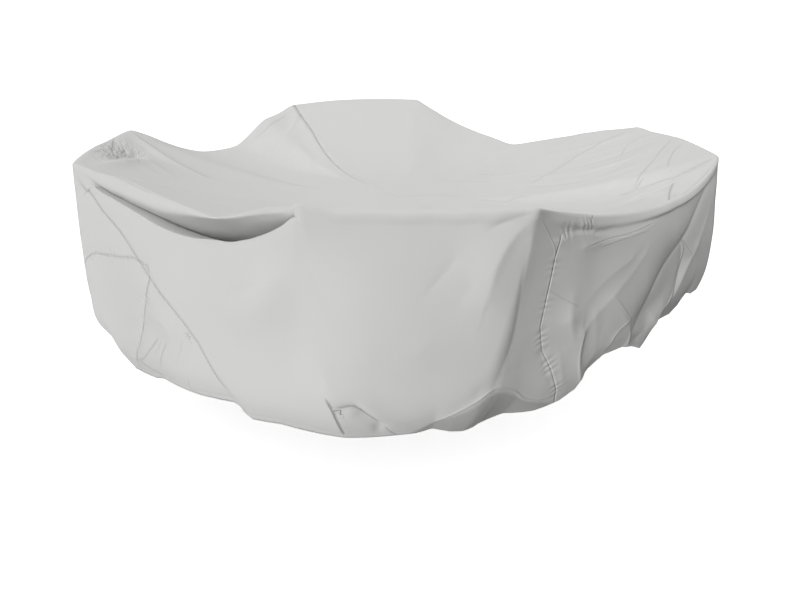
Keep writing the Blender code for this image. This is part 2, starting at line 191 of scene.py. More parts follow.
def closed_curve(along, values):
    """Smooth curve round the rim through one value for each skirt station."""
    knots = np.concatenate([STATION_ALONG - RIM_LENGTH, STATION_ALONG, STATION_ALONG + RIM_LENGTH])
    return curve(np.mod(along, RIM_LENGTH), knots, np.tile(values, 3))


def rim_samples(count=4096):
    """Points of the rim, corner to corner with bow and sag, with the corners rounded."""
    along = np.arange(count) / count * RIM_LENGTH
    points = np.zeros((count, 3))
    for i, span in enumerate(SPANS):
        start, end = CORNER_XYZ[i], CORNER_XYZ[(i + 1) % len(CORNERS)]
        here = (along >= CORNER_ALONG[i]) & (along < CORNER_ALONG[i + 1])
        share = (along[here] - CORNER_ALONG[i]) / SPAN_LENGTHS[i]
        outward = (start + end)[:2] / np.linalg.norm((start + end)[:2])
        points[here] = start + (end - start) * share[:, None]
        points[here, :2] += outward * (span.bow * 4 * share * (1 - share))[:, None]
        skewed = share ** (np.log(0.5) / np.log(span.low_at))
        points[here, 2] -= span.sag * 4 * skewed * (1 - skewed)
    points[:, 2] += np.interp(along, *zip(*RIM_LIFTS)) * MM
    spread = CORNER_ROUND / (RIM_LENGTH / count)
    offsets = np.arange(-int(4 * spread), int(4 * spread) + 1)
    weights = np.exp(-0.5 * (offsets / spread) ** 2)
    rounded = sum(w * np.roll(points, -k, axis=0) for k, w in zip(offsets, weights))
    return along, rounded / weights.sum()


RIM_ALONG, RIM_POINTS = rim_samples()
# The skirt has no edge below the front left corner: there it hangs from the mean of the rim
# over this much on either side.
EASED_CORNER = CORNER_ALONG[1]
EASED_SPREAD = 0.18
EASED_WIDTH = 0.30
EASED_DEPTH = 0.18      # below the rim, by which the corner is gone
LIP_FADE = 0.09         # over which the skirt forgets the pocket's lip
EASED_SHIFTS = np.linspace(-1, 1, 41) * EASED_SPREAD * len(RIM_ALONG) / RIM_LENGTH
EASED_POINTS = np.mean([np.roll(RIM_POINTS, int(shift), axis=0) for shift in EASED_SHIFTS], axis=0)


def rim_at(along, points=RIM_POINTS):
    """Rim point at a place round the rim."""
    along = np.mod(along, RIM_LENGTH)
    knots = np.append(RIM_ALONG, RIM_LENGTH)
    return np.stack([np.interp(along, knots, np.append(column, column[0]))
                     for column in points.T], axis=-1)


def top_height(share, rim_z):
    """Height of the top, share of the way out: flat, then a slope up to the rim.

    The slope starts near the middle under a raised stretch and far out under a sag.
    """
    low_rim, high_rim = 0.05, 0.17
    flat_under_raised, flat_under_sag = 0.26, 0.50
    steepening = 1.55
    raised = ease((rim_z - low_rim) / (high_rim - low_rim))
    flat = flat_under_raised * raised + flat_under_sag * (1 - raised)
    return rim_z * np.clip((share - flat) / (1 - flat), 0, 1) ** steepening


def pocket_profile(along, reach):
    """Out and down offsets of the pocket as far as its lip, and how much of it there is.

    Past the lip, out stays and down is the lip's. The pocket fades in at one end of its span
    and out at the other.
    """
    share = (along - CORNER_ALONG[POCKET_SPAN]) / SPAN_LENGTHS[POCKET_SPAN]
    amount = ease((share + 0.12) / 0.16) * ease((1.05 - share) / 0.16)
    shares, *columns = zip(*POCKET)
    band, under, lip_down, lip_out = (
        curve(np.clip(share, 0, 1), shares, column) * MM for column in columns)
    none = np.zeros_like(band)
    bottom = lip_down + 0.42 * (under + lip_out)
    out = np.stack([none, 0.30 * band, 0.12 * band - 0.1 * under, -0.45 * under, -under,
                    -0.45 * under, 0.78 * lip_out, lip_out], -1)
    down = np.stack([none, 0.45 * band, 0.96 * band, 0.55 * band + 0.45 * bottom, bottom,
                     0.5 * bottom + 0.5 * lip_down, lip_down + 0.16 * lip_out, lip_down], -1)
    return curve(reach, POCKET_REACHES, out), curve(reach, POCKET_REACHES, down), amount


# The rolled rim of the front and right side, nipped at the seam and at two puckers: places
# round the rim, how far it stands out there and how wide it is, in millimetres.
ROLLED_RIM = (
    (-1.002, 0, 40), (-0.965, 0, 38), (-0.900, 6, 38), (-0.762, 9, 36), (-0.722, 5, 36),
    (-0.682, 9, 36), (-0.462, 4, 38), (-0.387, 4, 40), (-0.362, 4, 38), (-0.337, 5, 40),
    (-0.272, 6, 42), (-0.250, 4, 40), (-0.227, 7, 40), (-0.112, 6, 34), (-0.042, 0, 30), (0.040, 2, 24),
    (0.110, 6, 24), (0.150, 3, 22), (0.200, 6, 24), (0.260, 3, 20), (0.320, 5, 24), (0.400, 3, 20),
    (0.480, 5, 22), (0.560, 0, 20),
)


def rolled_rim(along, reach):
    """Out offset of the rolled rim: a slope out to its lower edge, then a short way back in."""
    places, outs, widths = zip(*ROLLED_RIM)
    place = from_front(along)
    share = np.clip(reach, 0, None) / (np.interp(place, places, widths) * MM)
    shape = np.where(share < 1, ease(share) ** 0.8, 1.12 * np.exp(-((share - 1) / 0.25) ** 2) - 0.12)
    return np.interp(place, places, outs) * MM * shape * np.exp(-np.clip(share - 1, 0, None) / 1.5)


# The front right corner's edge leans to the left on its way down: from its foot the cloth
# goes straight to this place on the right side.
EDGE_LEAN = 0.13
EDGE_SOFTNESS = 0.035
STRAIGHT_TO = -0.32


def leaning_corner(along, plan, depth):
    """Plan of the skirt, with a straight cut behind the leaning edge of the corner."""
    middle = from_front(along)
    edge = EDGE_LEAN * np.clip(depth, 0, 1)
    near_end, far_end = rim_at(edge)[..., :2], rim_at(STRAIGHT_TO)[..., :2]
    cut = plan * 0
    for tap in (-1, -0.5, 0, 0.5, 1):
        place = middle + tap * EDGE_SOFTNESS * np.clip(depth, 0, 1)
        share = ((edge - place) / (edge - STRAIGHT_TO))[..., None]
        straight = near_end + (far_end - near_end) * share
        kept = (share <= 0) | (share >= 1)
        cut += np.where(kept, rim_at(place)[..., :2], straight) / 5
    cut_middle, cut_half, blend = -0.10, 0.26, 0.08
    beyond = ease((abs(middle - cut_middle) - cut_half) / blend)[..., None]
    return cut * (1 - beyond) + plan * beyond


def plain_cloth(along, reach):
    """Top, skirt and pocket, with a sharp rim and no folds."""
    along = np.mod(along, RIM_LENGTH)
    rim = rim_at(along)
    radius = np.linalg.norm(rim[..., :2], axis=-1)
    share = np.clip(1 + reach / radius, 0, 1)
    top = np.concatenate([rim[..., :2] * share[..., None],
                          top_height(share, rim[..., 2])[..., None]], axis=-1)
    third, two_thirds, low, hem, hem_z = (
        closed_curve(along, column) * MM for column in zip(*SKIRT))
    drop = rim[..., 2] - hem_z
    lip_reach = POCKET_REACHES[-1]
    pocket_out, pocket_down, amount = pocket_profile(along, reach)
    past_lip = np.clip((reach - lip_reach) / (SKIRT_REACH - lip_reach), 0, 1)
    lip_depth = pocket_down
    pocket_down = pocket_down + (drop - pocket_down) * past_lip
    fallen = np.clip(reach / SKIRT_REACH, 0, 1)
    down = fallen * drop * (1 - amount) + pocket_down * amount
    standing = np.stack([0 * hem, third, two_thirds, low, hem], -1)
    out = curve(down / drop, SKIRT_SHARES, standing)
    extra = pocket_out - curve(lip_depth / drop, SKIRT_SHARES, standing)
    out += amount * extra * np.exp(-np.clip(reach - lip_reach, 0, None) / LIP_FADE)
    eased = np.exp(-((along - EASED_CORNER) / EASED_WIDTH) ** 4) * ease(down / EASED_DEPTH)
    plan = rim[..., :2] + (rim_at(along, EASED_POINTS) - rim)[..., :2] * eased[..., None]
    plan = leaning_corner(along, plan, down / drop)
    out += rolled_rim(along, reach)
    lifted_from = 0.40
    near_hem = ease((reach - lifted_from) / (SKIRT_REACH - lifted_from))
    down -= np.interp(from_front(along), *zip(*HEM_LIFTS)) * MM * near_hem
    skirt = np.concatenate([plan + unit(plan) * out[..., None],
                            (rim[..., 2] - down)[..., None]], axis=-1)
    return np.where((reach < 0)[..., None], top, skirt)


def rounded_cloth(along, reach):
    """The plain cloth, softened across the rim."""
    spread = RIM_ROUND * np.exp(-(reach / 0.05) ** 2)
    taps = ((-1.0, 0.15), (-0.5, 0.22), (0.0, 0.26), (0.5, 0.22), (1.0, 0.15))
    return sum(weight * plain_cloth(along, reach + tap * spread) for tap, weight in taps)


# Broad swells and hollows of the skirt: where the middle is, its height out of the cloth in
# millimetres, and how far it spreads along the rim and down the skirt, in metres.
Swell = namedtuple("Swell", "name along reach rise wide tall")
# The hidden sides hang in plain soft drapes, an even step apart and uneven in depth.
DRAPE_RISES = (8, -6, 12, -10, 14, -6, 10, -14, 9, -7, 13, -9, 11, -12, 8, -9, 14, -10, 7)
FIRST_DRAPE, DRAPE_STEP = 1.80, 0.17
PLAIN_DRAPES = tuple(Swell("drape", FIRST_DRAPE + DRAPE_STEP * k, SKIRT_REACH, rise, 0.06, 0.40)
                     for k, rise in enumerate(DRAPE_RISES))
SKIRT_SWELLS = PLAIN_DRAPES + tuple(Swell(*row) for row in (
    ("under the pocket", 0.75, 0.34, 22, 0.13, 0.07),
    ("front middle", 0.37, 0.32, 12, 0.20, 0.24),
    ("above the tuck", 0.52, 0.50, 13, 0.08, 0.06),
    ("left of the corner", 0.12, 0.18, 11, 0.07, 0.14),
    ("right of the corner", -0.17, 0.16, 6, 0.08, 0.12),
    ("under the right rim", -0.42, 0.10, 3, 0.20, 0.05),
    ("right low", -0.29, 0.54, -9, 0.10, 0.11),
    ("right low hollow", -0.49, 0.50, -18, 0.08, 0.10),
    ("right hollow", -0.67, 0.38, -24, 0.15, 0.17),
    ("left low hollow", 1.05, 0.53, -6, 0.10, 0.08),
))

# Folds of the skirt, each on a path of along, reach, along, reach... in centimetres, along
# being negative to the right of the front right corner. Heights out of the cloth are at equal
# shares of the path, and left and right are the widths of the two flanks, in millimetres.
Fold = namedtuple("Fold", "path heights left right")
FOLD_CREST = 3 * MM
LAP = (147, 5, 141, 21, 126, 27, 111, 34, 98, 43, 91, 53, 84, 65)
SKIRT_FOLDS = [Fold(*row) for row in (
    # The lap, and the crumples beside the upright left seam.
    (LAP, (-1, -5, -8, -10, -6), 4, 35),
    ((113, 35, 118, 47, 122, 55, 128, 60), (-4, -4, -1), 20, 15),
    ((129, 53, 121, 51, 116, 48), (-1, -3, -4), 15, 25),
    ((123, 46, 118, 43, 114, 40), (-2, -3, -3), 12, 20),
    ((111, 44, 107, 44, 105, 48), (4, 8, 2), 15, 15),
    ((110, 50, 115, 55, 122, 59, 131, 62), (-3, -2, 0), 20, 15),
    ((107, 50, 110, 55, 112, 60), (-2, -2, -1), 12, 12),
    ((99, 47, 101, 51, 103, 57), (2, -3, -1), 12, 18),
    ((96, 48, 99, 54), (-4, -2), 20, 10),
    # Drags on the front, and the fan and edge of its right corner.
    ((87, 34, 73, 30, 63, 29), (3, 8, 3), 14, 45),
    ((72, 48, 60, 46, 49, 36), (1, -4, 0), 25, 30),
    ((21, 13, 25, 18, 29, 23), (-2, -2, -1), 12, 12),
    ((17, 20, 22, 28, 30, 38), (-1.5, 0, 1), 12, 12),
    ((2, 3, 7, 8, 11, 15, 13, 24), (2, 8, 8, 4), 20, 45),
    ((0, 3, 3, 13, 4, 30, 5, 39, 9, 50), (-3, -8, -9, -8, -6), 55, 30),
    ((4, 2, 8, 3, 14, 6), (-4, -5, -1), 14, 12),
    # The turned hem, and the tuck with its gathers.
    ((8, 48, 12, 49, 16, 52, 20, 54), (-3, -5, -3), 45, 12),
    ((53, 52, 51, 58, 50, 64), (6, 4, 1), 30, 12),
    ((50, 54, 46, 53, 43, 56, 39, 60), (-6, -16, -10), 8, 12),
    ((48, 52, 45, 52, 42, 54, 39, 57), (3, 7, 4), 25, 8),
    ((40, 61, 37, 62, 35, 62), (-4, -2, 0), 6, 6),
    ((41, 60, 40, 63, 38, 65), (-1, -4, 0), 6, 6),
    # Right of the corner: ridges and troughs that slant to the hem.
    ((-24, 7, -17, 7, -12, 8), (6, 4, 3), 60, 8),
    ((-8, 12, -6, 29, -7, 45, -17, 63), (0, -1, -3, -1), 15, 15),
    ((-58, 11, -45, 21, -27, 35, -21, 42), (0, 2, 2), 15, 12),
    ((-42, 18, -29, 24, -18, 34), (2, 2, 1), 12, 40),
    ((-16, 28, -15.5, 36, -18, 44), (6, 14, 6), 50, 50),
    ((-21, 42, -21, 50, -25, 63), (6, 8, 7), 8, 30),
    ((-90, 7, -77, 24, -54, 36, -43, 56), (-5, -6, -8, -4), 30, 30),
    ((-96, 12, -90, 29, -73, 51, -56, 59), (1, 2, 6, 4), 30, 20),
    ((-71, 17, -74, 24, -81, 38), (2, 3, 4), 40, 16),
    ((-75, 25, -75, 43, -70, 51, -58, 58), (-4, -8, 0), 25, 20),
    ((-32, 32, -35, 37, -41, 56, -43, 65), (3, 4, 5), 12, 20),
    ((-39, 45, -35, 50, -33, 59, -32, 64), (1, 2, 3), 20, 10),
    ((-25, 36, -26, 43, -27, 51, -28, 63), (2, 2, 2), 12, 12),
    ((-29, 41, -29, 48, -30, 61), (-1, 1, 0), 8, 8),
    ((-58, 7, -43, 9, -30, 10, -20, 11), (2, 2, 3), 15, 12),
    ((-51, 47, -55, 55, -57, 62), (0, 6, 3), 15, 12),
    ((-50, 56, -46, 62), (-2, -3), 12, 20),
    ((-13, 46, -15, 52, -17, 58), (1, 2, 2), 10, 15),
)]
# Folds of the top, each on a path of x, y, x, y... Those that fan out from the right rim lie
# an even step apart and are of uneven height.
RIGHT_FAN = [Fold((100, 8 * k - 25, 82, 9 * k - 31, 60, 11 * k - 36), (0, height, 0), 8, 16)
             for k, height in enumerate((6, -4, 5, 7, -6, 4, 6))]
TOP_FOLDS = RIGHT_FAN + [Fold(*row) for row in (
    # The left stretch: its roll, crinkles and long ridge.
    ((-93, -18, -90, -10, -85, 1), (6, 22, 16), 12, 32),
    ((-87, 12, -81, 2, -75, -4), (2, 8, 3), 20, 40),
    ((-95, 33, -88, 10, -84, -4, -80, -8), (0, -3, -5, 4), 20, 15),
    ((-93, 10, -89, 9, -86, 15), (-8, -16, -3), 12, 15),
    ((-93, -3, -92, 1, -90, 4), (-8, -9, -4), 15, 15),
    ((-92, 29, -82, 18, -77, 14, -62, 4), (0, 7, 6, 2), 15, 20),
    ((-90, 23, -84, 16, -79, 10, -71, 7), (-3, -5, -2, 0), 15, 15),
    ((-89, 27, -80, 31, -72, 42), (-2, -4, -1), 10, 30),
    ((-95, -29, -83, -36, -71, -46, -56, -58), (1, 2, 1, 0), 10, 25),
    ((-67, -32, -57, -33, -47, -33), (-2, -3, -1), 15, 15),
    ((-81, -22, -68, -27, -54, -31), (3, -1, -1), 15, 15),
    # The fan of the back left corner.
    ((-38, 86, -42, 80, -47, 74, -51, 71), (0, 6, 8, 0), 10, 35),
    ((-40, 73, -46, 70, -53, 69, -59, 66), (-5, 8, 3, -1), 12, 10),
    ((-32, 89, -35, 76, -40, 65, -46, 57), (-2, 5, -3), 20, 8),
    ((-29, 80, -32, 65, -38, 54), (3, 0, -6), 25, 25),
    ((-36, 83, -39, 70, -44, 64), (-4, -2, -6), 12, 25),
    ((-66, 48, -53, 58, -40, 52, -32, 34), (1, 5, 2, 0), 30, 40),
    ((-27, 75, -23, 62, -17, 48), (2, 2, 1), 20, 15),
    ((-32, 69, -27, 54, -25, 39), (-2, -2, -3), 20, 20),
    # The fan of the back right corner.
    ((18, 96, 11, 81, 3, 63, -4, 49), (-1, -2, -1), 20, 20),
    ((20, 94, 14, 79, 9, 63), (-2, -2, -1), 15, 15),
    ((22, 95, 22, 79, 24, 62), (-2, -2, 0), 20, 20),
    ((31, 81, 38, 64, 43, 48), (1, 2, 1), 25, 25),
    # Long drags in from the right stretch.
    ((97, 27, 84, 22, 70, 14, 59, 5, 49, -3), (0, 6, 3, 3), 12, 20),
    ((91, 22, 80, 20, 58, 27, 49, 40), (-2, -2, -2), 20, 20),
    ((95, 17, 90, 11, 81, -2), (2, 0, -3), 15, 15),
    ((102, 12, 98, 16, 92, 12, 85, 2), (1, 2, 1, -1), 8, 10),
    ((94, 2, 88, -1, 81, -6, 73, -13), (4, -4, -3), 22, 9),
    ((92, -13, 85, -16, 71, -22), (1, 2, 5), 12, 15),
    ((103, 1, 91, -13, 84, -20, 76, -29), (0, 7, 4, 2), 18, 9),
    ((103, -7, 98, -12, 92, -20, 90, -26), (1, 6, 2), 8, 20),
    ((103, -31, 93, -29, 86, -28, 72, -28), (2, -5, -6, -2), 20, 10),
    ((102, -31, 89, -30, 81, -32, 62, -46), (2, -3, -4, 1), 25, 12),
    ((90, -30, 87, -34, 82, -44), (-6, -1, 0), 8, 20),
    ((90, 10, 90, -2, 92, -8), (-2, 1, 2), 15, 12),
    # The fan of the pinch in the rim, and slack in the middle.
    ((47, -72, 62, -43, 79, -34, 87, -34), (-1, -2, 2), 15, 12),
    ((51, -69, 66, -47, 79, -45), (0, -2, 0), 15, 15),
    ((57, -41, 54, -35, 50, -27), (2, 2, 1), 8, 12),
    ((38, 29, 44, 17, 51, 15), (-1, 1, 3), 12, 12),
    ((37, 12, 46, 9, 56, 3, 66, 0), (3, 4, 4), 18, 9),
    ((30, -12, 36, -16, 42, -14, 47, -15), (2, 5, 7, 4), 8, 12),
    ((49, -3, 59, -9, 67, -12), (-3, -4, -3), 15, 25),
    ((48, -9, 57, -14, 64, -15), (-1, -2, -2), 25, 15),
    ((38, -10, 47, -15, 58, -23, 70, -27), (3, -1, 1), 10, 15),
    ((3, -3, 16, -3, 26, -7), (0, 2, -1), 8, 8),
    ((21, 20, 30, 17, 39, 9), (-1, -2, -2), 6, 6),
    # Along the long seam.
    ((-33, 91, -22, 52, -9, 20, 5, -12), (1, 1.5, 1), 20, 8),
)]

# Sharp creases of the skirt, each on a path as the folds are: depth of the groove, or of the
# ridge where it is negative, and half its width, in millimetres.
Crease = namedtuple("Crease", "path depth width")
SKIRT_CREASES = [Crease(*row) for row in (
    (LAP, 2.4, 3.5),
    ((53, 52, 51.5, 54.5, 50.5, 58, 49.5, 64.5), 4, 4),
    ((50, 53.5, 46, 53, 43, 55.5, 39, 59.5), 3, 4),
    ((38, 61.5, 36.5, 63.5, 35, 65.5), 2, 3),
    ((27, 63, 21, 56.5, 15, 53, 9, 50.5, 3.5, 53, -4.5, 59, -18, 62), -1.6, 3.5),
    ((-1, 3, -4.5, 7, -7.5, 11.5, -8.5, 16), -1.2, 3),
    ((-7.5, 25, -13, 28.5, -18.5, 32), 1.2, 2.5),
    ((-21.5, 42, -21, 50, -24.5, 63), -1.8, 5),
    ((-74, 20, -76.5, 36, -70, 50.5, -60.5, 59), -1.8, 4.5),
    ((-71.5, 18, -77, 28, -81.5, 39), 1.2, 2.5),
    ((-32, 31.5, -35.5, 37, -39.5, 44.5, -41, 56, -43, 65), -1.4, 4.5),
    ((-39.5, 45, -35, 50.5, -33.5, 59.5, -32.5, 64), -1.2, 4.5),
    ((-57.5, 7, -43.5, 8.5, -30, 9.5, -20.5, 11.5), 1, 2.5),
    ((-54, 9, -37.5, 10, -27, 11.5), -0.8, 2.5),
    ((110.5, 50, 115, 55, 121.5, 59, 131, 61.5), 1.4, 2.5),
    ((107, 50.5, 109.5, 55, 112.5, 60.5), 1.2, 2.5),
    ((99.5, 46.5, 101, 51, 103.5, 57), -1, 2.5),
    ((100, 61, 101, 64.5, 98, 66), 1.2, 2.5),
    ((95, 64.5, 92, 66, 88, 65.5), 1, 2.5),
    ((127.5, 61, 121.5, 62.5, 114, 65), 2, 3),
)]
# Sharp creases of the top.
TOP_CREASES = [Crease(*row) for row in (
    ((-92.5, 30, -85.5, 23.5, -77, 14.5, -62, 3.5), 1.8, 3.5),
    ((-93, -30, -88.5, -32.5, -80, -39, -72.5, -44.5), 1.2, 2.5),
    ((-93.5, -22, -82, -35.5, -74, -42, -68, -46.5), -1, 3),
    ((-93, -3, -90, 5, -84, -3.5), 2, 3),
    ((-93, 10, -88.5, 7, -85.5, 14), 2, 3),
    ((97, 26.5, 84.5, 22.5, 70, 14, 59, 5, 49.5, -2.5), 1.4, 3.5),
    ((94, 2, 87.5, -1.5, 80.5, -6, 73.5, -13), -1.2, 3),
    ((102.5, 12, 98, 15.5, 92, 12.5, 84.5, 2.5), 1, 3),
    ((103.5, 1.5, 96.5, -6, 91, -13, 84.5, -20, 76, -29), 1.2, 3.5),
    ((103, -7, 97.5, -12.5, 92.5, -20, 89.5, -25.5), 1.2, 3),
    ((103, -30.5, 92.5, -29, 86, -28, 71.5, -27.5), 1.2, 3),
    ((102.5, -31.5, 89.5, -30, 81.5, -32, 61.5, -45.5), -1.2, 3),
    ((101.5, -32, 97, -34.5, 87, -41.5), 1.2, 3),
    ((90, -30, 87, -34.5, 82, -44.5), 2.2, 3),
    ((58, -44, 62.5, -43, 70, -40, 79, -34), 1.2, 3),
    ((57, -41, 54, -35.5, 50, -27), 1, 3),
    ((-38, 87.5, -42, 80.5, -47, 74, -51.5, 71.5), 1.4, 3.5),
    ((-31.5, 88.5, -35, 76, -40.5, 65.5, -46.5, 57), -1.2, 3.5),
    ((38, 29, 44, 16.5, 51.5, 15), 1, 3.5),
    ((30, -11.5, 36, -15.5, 41.5, -14, 46.5, -15), 1, 3.5),
    ((3, -3, 16, -3, 25.5, -6.5), 1, 3.5),
    ((20.5, 20, 30.5, 17, 39, 9), 1, 3.5),
    ((49, -3, 59, -9, 67, -11.5), 0.8, 3.5),
)]


def smooth_path(points, count=48):
    """A curve through the given points, as evenly spaced samples in metres: a smooth curve
    through each coordinate over the distance from point to point."""
    points = np.reshape(points, (-1, 2)) * CM
    knots = np.append(0, np.cumsum(np.linalg.norm(np.diff(points, axis=0), axis=1)))
    t = np.linspace(0, knots[-1], count)
    return np.stack([curve(t, knots, column) for column in points.T], axis=1)


def beside(path, u, v, margin, wrap):
    """Which places lie near a path, and for those: how far to its left, how far beyond its
    ends, and the share of the way along it. wrap is the length after which u repeats."""
    if wrap:
        u = u + wrap * np.round((path[:, 0].mean() - u) / wrap)
    low, high = path.min(axis=0) - margin, path.max(axis=0) + margin
    here = (u > low[0]) & (u < high[0]) & (v > low[1]) & (v < high[1])
    places = np.stack([u[here], v[here]], axis=1)
    tangent = unit(np.gradient(path, axis=0))
    nearest = np.argmin(((places[:, None] - path[None]) ** 2).sum(axis=2), axis=1)
    offset = places - path[nearest]
    direction = tangent[nearest]
    lengthwise = (offset * direction).sum(axis=1)
    sideways = offset[:, 0] * direction[:, 1] - offset[:, 1] * direction[:, 0]
    share = (nearest + lengthwise / np.linalg.norm(path[1] - path[0])) / (len(path) - 1)
    beyond = np.where((share < 0) | (share > 1), np.abs(lengthwise), 0)
    return here, sideways, beyond, share


def fold_height(u, v, folds, wrap=0.0):
    """Height of a set of folds at places (u, v): for each, rise * exp(-r / w), where
    r = sqrt(d^2 + crest^2) - crest, d is the distance to the path, w is the flank's width
    on that side, and rise follows the share of the path.
    """
    total = np.zeros(u.shape)
    for fold in folds:
        margin = 5 * MM * max(fold.left, fold.right)
        here, sideways, beyond, share = beside(smooth_path(fold.path), u, v, margin, wrap)
        away = np.sqrt(sideways ** 2 + beyond ** 2 + FOLD_CREST ** 2) - FOLD_CREST
        rise = np.interp(share, np.linspace(0, 1, len(fold.heights)), fold.heights) * MM
        total[here] += rise * np.exp(-away / (np.where(sideways > 0, fold.right, fold.left) * MM))
    return total


def swell_height(along, reach, swells):
    """Height of the broad swells: rise * exp(-(a / wide)^2 - (d / tall)^2), where a and d are
    the distances along the rim and down the skirt from the middle of each."""
    total = np.zeros(along.shape)
    for swell in swells:
        sideways = from_front(along - swell.along)
        spread = (sideways / swell.wide) ** 2 + ((reach - swell.reach) / swell.tall) ** 2
        total += swell.rise * MM * np.exp(-spread)
    return total


def waves(points, length, seed, count=18):
    """Soft uneven swell, -1 to 1: a sum of plane waves of about one length, with seeded
    directions and phases, over the square root of their number."""
    rng = np.random.default_rng(seed)
    direction = unit(rng.normal(size=(count, 3)))
    lengths = length * rng.uniform(0.7, 1.5, count)
    phase = rng.uniform(0, 2 * np.pi, count)
    total = np.zeros(points.shape[:-1])
    for k in range(count):
        total += np.cos(points @ direction[k] * (2 * np.pi / lengths[k]) + phase[k])
    return total / np.sqrt(count)


# Where the hem starts to turn in under, from the front to past the front right corner: the
# place round the rim in metres, the reach in millimetres, and how steeply it turns in.
TURNED_HEM = (
    (-0.18, 660, 0.00), (-0.10, 610, 0.12), (-0.05, 592, 0.20), (0.00, 560, 0.26), (0.04, 530, 0.28),
    (0.08, 512, 0.30), (0.11, 512, 0.30), (0.15, 535, 0.28), (0.21, 565, 0.22), (0.26, 608, 0.14),
    (0.31, 650, 0.00),
)

# The seams, from row to row of (reach, along).
FRONT_SEAM = (
    (-0.90, 6.000), (-0.40, 5.975), (0.00, 5.895), (0.03, 5.920), (0.05, 6.000), (0.07, 6.060),
    (0.14, 6.080), (0.25, 6.095), (0.37, 6.110), (0.45, 6.090), (0.51, 6.050), (0.59, 6.010),
    (SKIRT_REACH, 5.990),
)
NEAR_SIDE_SEAM = (
    (-0.90, 1.150), (0.30, 1.120), (0.35, 1.130), (0.47, 1.175), (0.55, 1.220), (0.60, 1.280),
    (SKIRT_REACH, 1.350),
)
# The level seam over the piece let in.
LEVEL_SEAM = (
    (0.320, 1.00), (0.300, 1.13), (0.305, 1.20), (0.335, 1.30), (0.360, 1.40), (0.350, 1.46),
    (0.320, 2.00),
)
FAR_SIDE_SEAM = ((-0.90, 1.990), (SKIRT_REACH, 1.990))
BACK_SEAM = (
    (-0.90, 2.872), (-0.60, 2.878), (-0.42, 2.914), (-0.26, 2.948), (0.00, 2.956), (SKIRT_REACH, 2.956),
)
SEAMS = (FRONT_SEAM, NEAR_SIDE_SEAM, FAR_SIDE_SEAM, BACK_SEAM)
# Each seam has a mesh line of its own, which starts from this place and bends to follow it.
# The lines within the spread on either side bend less and less.
SEAM_HOMES = (6.050, 1.150, 1.990, 2.956)
SEAM_SPREAD = 0.42
SIDE_SEAM_REACH = 0.320
LEVEL_SPREAD = 0.11

# Mesh steps round the rim: up to each place, the step used.
COLUMN_STEPS = ((0.30, 0.0064), (0.55, 0.0085), (0.90, 0.0075), (1.50, 0.0072), (2.20, 0.017),
                (3.60, 0.020), (4.40, 0.024), (5.10, 0.010), (6.17, 0.0060))
TOP_SHARES = np.concatenate([[0.004, 0.015, 0.04, 0.08, 0.12], np.linspace(0.15, 0.45, 12),
                             np.linspace(0.47, 0.992, 42)])
SKIRT_REACHES = np.concatenate([
    np.linspace(0, 0.060, 15), np.linspace(0.067, 0.174, 15), np.linspace(0.179, 0.203, 7),
    np.linspace(0.212, 0.312, 12), [SIDE_SEAM_REACH], np.linspace(0.328, SKIRT_REACH, 40)])


def mesh_columns():
    """Places of the mesh lines round the rim, once round from the front seam, and the
    line that runs along each seam."""
    first = SEAM_HOMES[0]
    homes = [first + (home - first) % RIM_LENGTH for home in SEAM_HOMES]
    ends = [end + RIM_LENGTH * lap for lap in (0, 1) for end, _ in COLUMN_STEPS]
    steps = [step for _ in (0, 1) for _, step in COLUMN_STEPS]
    last = first + RIM_LENGTH
    marks = sorted({*homes, last, *(end for end in ends if first < end < last)})
    columns = []
    for start, end in zip(marks, marks[1:]):
        step = next(s for e, s in zip(ends, steps) if (start + end) / 2 < e)
        columns.append(np.linspace(start, end, max(1, round((end - start) / step)), endpoint=False))
    columns = np.append(np.concatenate(columns), last)
    return columns, [int(np.argmin(abs(columns - home))) for home in homes]


def mesh_lines():
    """along and reach at each crossing of the mesh lines, and the seams' lines."""
    columns, seam_columns = mesh_columns()
    radius = np.linalg.norm(rim_at(columns)[:, :2], axis=-1)
    top = (TOP_SHARES[None, :] - 1) * radius[:, None]
    skirt = np.broadcast_to(SKIRT_REACHES, (len(columns), len(SKIRT_REACHES)))
    reach = np.concatenate([top, skirt], axis=1)
    along = np.broadcast_to(columns[:, None], reach.shape)
    shift = np.zeros(reach.shape)
    for home, seam in zip(SEAM_HOMES, SEAMS):
        apart = abs(from_front(along - home))
        shift += (np.interp(reach, *zip(*seam)) - home) * ease(1 - apart / SEAM_SPREAD)
    along = along + shift
    level_reach, level_along = zip(*LEVEL_SEAM)
    level = np.interp(np.mod(along, RIM_LENGTH), level_along, level_reach) - SIDE_SEAM_REACH
    reach += level * ease(1 - abs(reach - SIDE_SEAM_REACH) / LEVEL_SPREAD)
    rows = len(TOP_SHARES)
    reach[:, :rows] = (TOP_SHARES - 1) * np.linalg.norm(rim_at(along[:, :rows])[..., :2], axis=-1)
    return along, reach, seam_columns


def face_normals(points):
    """Outward normal at each crossing: the cross product of the two mesh directions, the
    ends of the round joined."""
    looped = np.concatenate([points[-2:-1], points, points[1:2]])
    return unit(np.cross(looped[2:] - looped[:-2], np.gradient(points, axis=1)))


HEM_BEND = 14 * MM       # over which the hem turns in
SWAY_LENGTH = 0.13
SWAY_HEIGHT = 0.4 * MM


